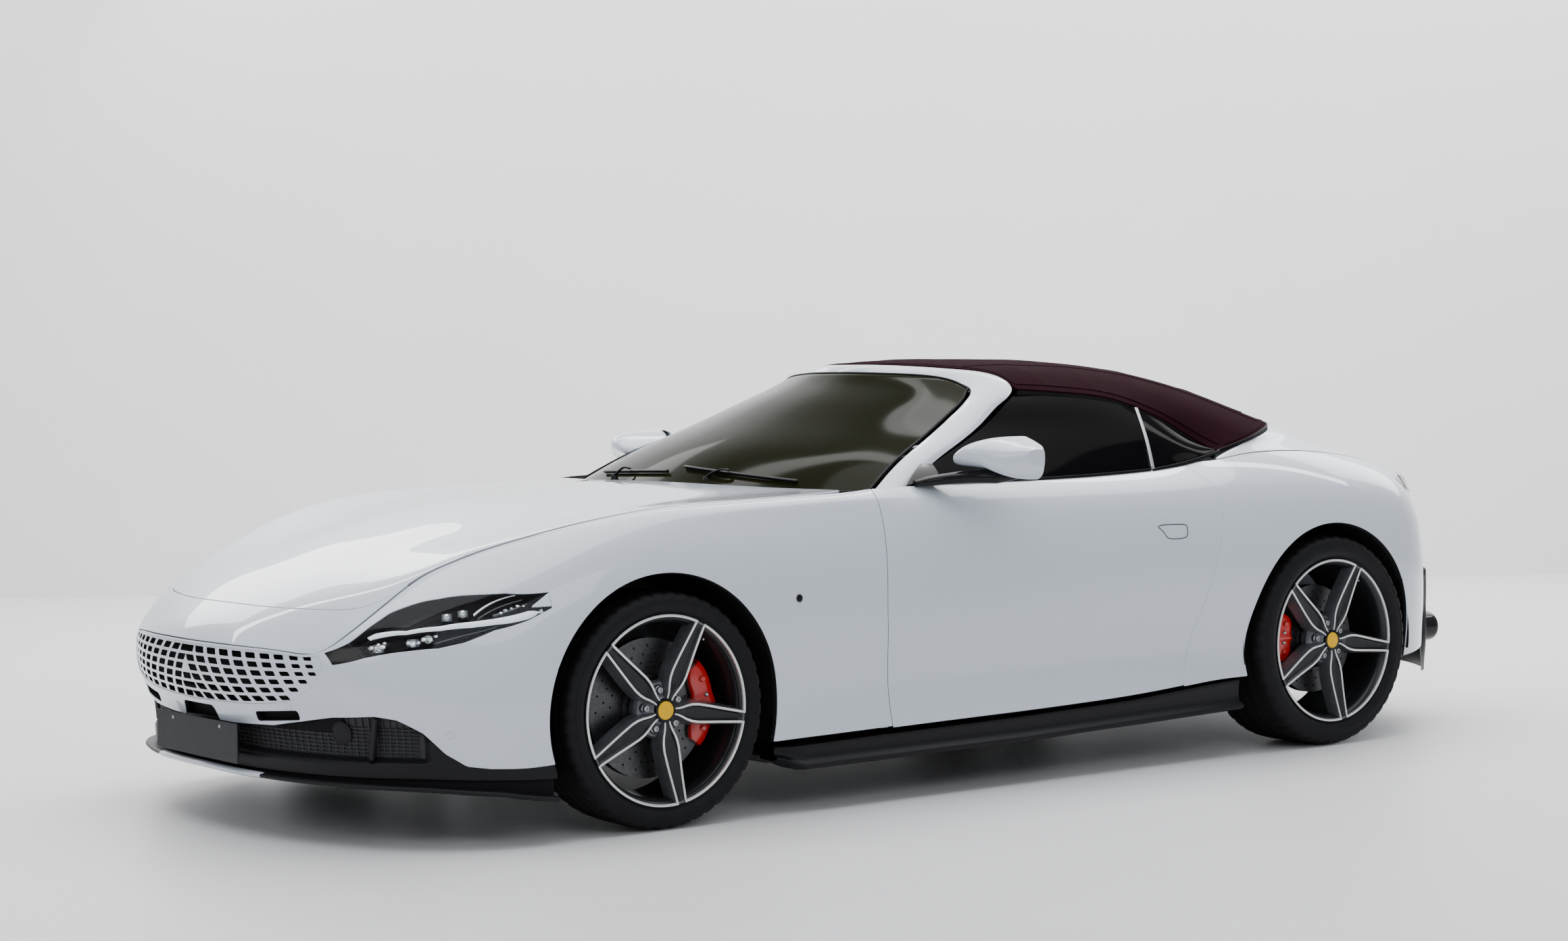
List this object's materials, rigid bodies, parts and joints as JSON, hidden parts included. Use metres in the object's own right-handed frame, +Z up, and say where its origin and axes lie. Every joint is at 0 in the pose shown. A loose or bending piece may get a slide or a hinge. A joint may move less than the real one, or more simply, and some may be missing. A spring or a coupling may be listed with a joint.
{
  "type": "soft-top grand tourer",
  "caption": "Two-door front-engined grand tourer with a fabric folding roof, long bonnet, twin-spoke wheels, opening doors, bonnet and boot lid.",
  "frame": {"origin": "ground below the middle of the body: half way along its length, on the centreline", "axes": "+X to the nose, +Y to the left side, +Z up"},
  "size_m": [4.6508, 2.176, 1.3059],
  "materials": {
    "paint": "glossy pearl white",
    "black_trim": "satin black",
    "lamp_lens": "clear, dark inside",
    "red_lens": "deep red",
    "tinted_glass": "dark tint",
    "roof_cloth": "matt wine red",
    "leather": "grained",
    "dark_trim": "soft black",
    "leather_dark": "grained",
    "floor_alloy": "as formed",
    "cast_alloy": "cast",
    "steel": "satin",
    "plate": "plain",
    "tyre_rubber": "matt",
    "rim_alloy": "machined and dark",
    "disc_iron": "machined",
    "caliper_red": "glossy red"
  },
  "bodies": {
    "chassis": {"front_bumper": "paint", "nose_panel": "paint", "front_wings": "paint", "rear_quarters": "paint", "rear_bumper": "paint", "tonneau_cover": "paint", "windscreen_frame": "paint", "grille": "paint", "lower_fascia": "black_trim", "front_splitter": "black_trim", "side_sills": "black_trim", "rear_diffuser": "black_trim", "arch_liners": "black_trim", "cowl_panel": "black_trim", "wipers": "black_trim", "headlamps": "lamp_lens", "tail_lamps": "red_lens", "windscreen": "tinted_glass", "rear_windows": "tinted_glass", "soft_top": "roof_cloth", "front_seats": "leather", "rear_seat": "leather", "dashboard": "dark_trim", "floor_pan": "floor_alloy", "engine_block": "cast_alloy", "suspension_arms": "cast_alloy", "exhaust_tips": "steel", "number_plates": "plate", "rear_knuckles": "cast_alloy", "rear_calipers": "caliper_red"},
    "wheel_front_left": {"tyre_front_left": "tyre_rubber", "rim_front_left": "rim_alloy", "brake_disc_front_left": "disc_iron"},
    "wheel_rear_left": {"tyre_rear_left": "tyre_rubber", "rim_rear_left": "rim_alloy", "brake_disc_rear_left": "disc_iron"},
    "hub_carrier_left": {"knuckle_front_left": "cast_alloy", "caliper_front_left": "caliper_red"},
    "door_left_body": {"door_left": "paint", "door_glass_left": "tinted_glass", "mirror_left": "paint"},
    "wheel_front_right": {"tyre_front_right": "tyre_rubber", "rim_front_right": "rim_alloy", "brake_disc_front_right": "disc_iron"},
    "wheel_rear_right": {"tyre_rear_right": "tyre_rubber", "rim_rear_right": "rim_alloy", "brake_disc_rear_right": "disc_iron"},
    "hub_carrier_right": {"knuckle_front_right": "cast_alloy", "caliper_front_right": "caliper_red"},
    "door_right_body": {"door_right": "paint", "door_glass_right": "tinted_glass", "mirror_right": "paint"},
    "bonnet_body": {"bonnet": "paint"},
    "boot_lid_body": {"boot_lid": "paint"},
    "steering_wheel_body": {"steering_wheel": "leather_dark"}
  },
  "joints": [
    {"name": "steer_left", "type": "hinge", "parent": "chassis", "child": "hub_carrier_left", "pos_m": [1.308, 0.826, 0.336], "axis": [0, 0, 1], "range_deg": [-30, 30]},
    {"name": "steer_right", "type": "hinge", "parent": "chassis", "child": "hub_carrier_right", "pos_m": [1.308, -0.826, 0.336], "axis": [0, 0, 1], "range_deg": [-30, 30]},
    {"name": "wheel_spin_front_left", "type": "hinge", "parent": "hub_carrier_left", "child": "wheel_front_left", "pos_m": [1.308, 0.826, 0.336], "axis": [0, 1, 0], "continuous": true},
    {"name": "wheel_spin_rear_left", "type": "hinge", "parent": "chassis", "child": "wheel_rear_left", "pos_m": [-1.362, 0.8395, 0.35], "axis": [0, 1, 0], "continuous": true},
    {"name": "door_left_hinge", "type": "hinge", "parent": "chassis", "child": "door_left_body", "pos_m": [0.428, 0.926, 0.55], "axis": [0, 0, -1], "range_deg": [0, 62]},
    {"name": "wheel_spin_front_right", "type": "hinge", "parent": "hub_carrier_right", "child": "wheel_front_right", "pos_m": [1.308, -0.826, 0.336], "axis": [0, 1, 0], "continuous": true},
    {"name": "wheel_spin_rear_right", "type": "hinge", "parent": "chassis", "child": "wheel_rear_right", "pos_m": [-1.362, -0.8395, 0.35], "axis": [0, 1, 0], "continuous": true},
    {"name": "door_right_hinge", "type": "hinge", "parent": "chassis", "child": "door_right_body", "pos_m": [0.428, -0.926, 0.55], "axis": [0, 0, 1], "range_deg": [0, 62]},
    {"name": "steering_wheel_turn", "type": "hinge", "parent": "chassis", "child": "steering_wheel_body", "pos_m": [-0.07, 0.375, 0.77], "axis": [-0.9135, 0, 0.4067], "range_deg": [-361, 361]},
    {"name": "bonnet_hinge", "type": "hinge", "parent": "chassis", "child": "bonnet_body", "pos_m": [2.23, 0, 0.6], "axis": [0, 1, 0], "range_deg": [0, 50]},
    {"name": "boot_lid_hinge", "type": "hinge", "parent": "chassis", "child": "boot_lid_body", "pos_m": [-1.655, 0, 1.01], "axis": [0, 1, 0], "range_deg": [0, 60]}
  ],
  "couplings": [
    {"joint": "steer_right", "follows": "steer_left", "ratio": 1},
    {"joint": "steering_wheel_turn", "follows": "steer_left", "ratio": 12}
  ]
}
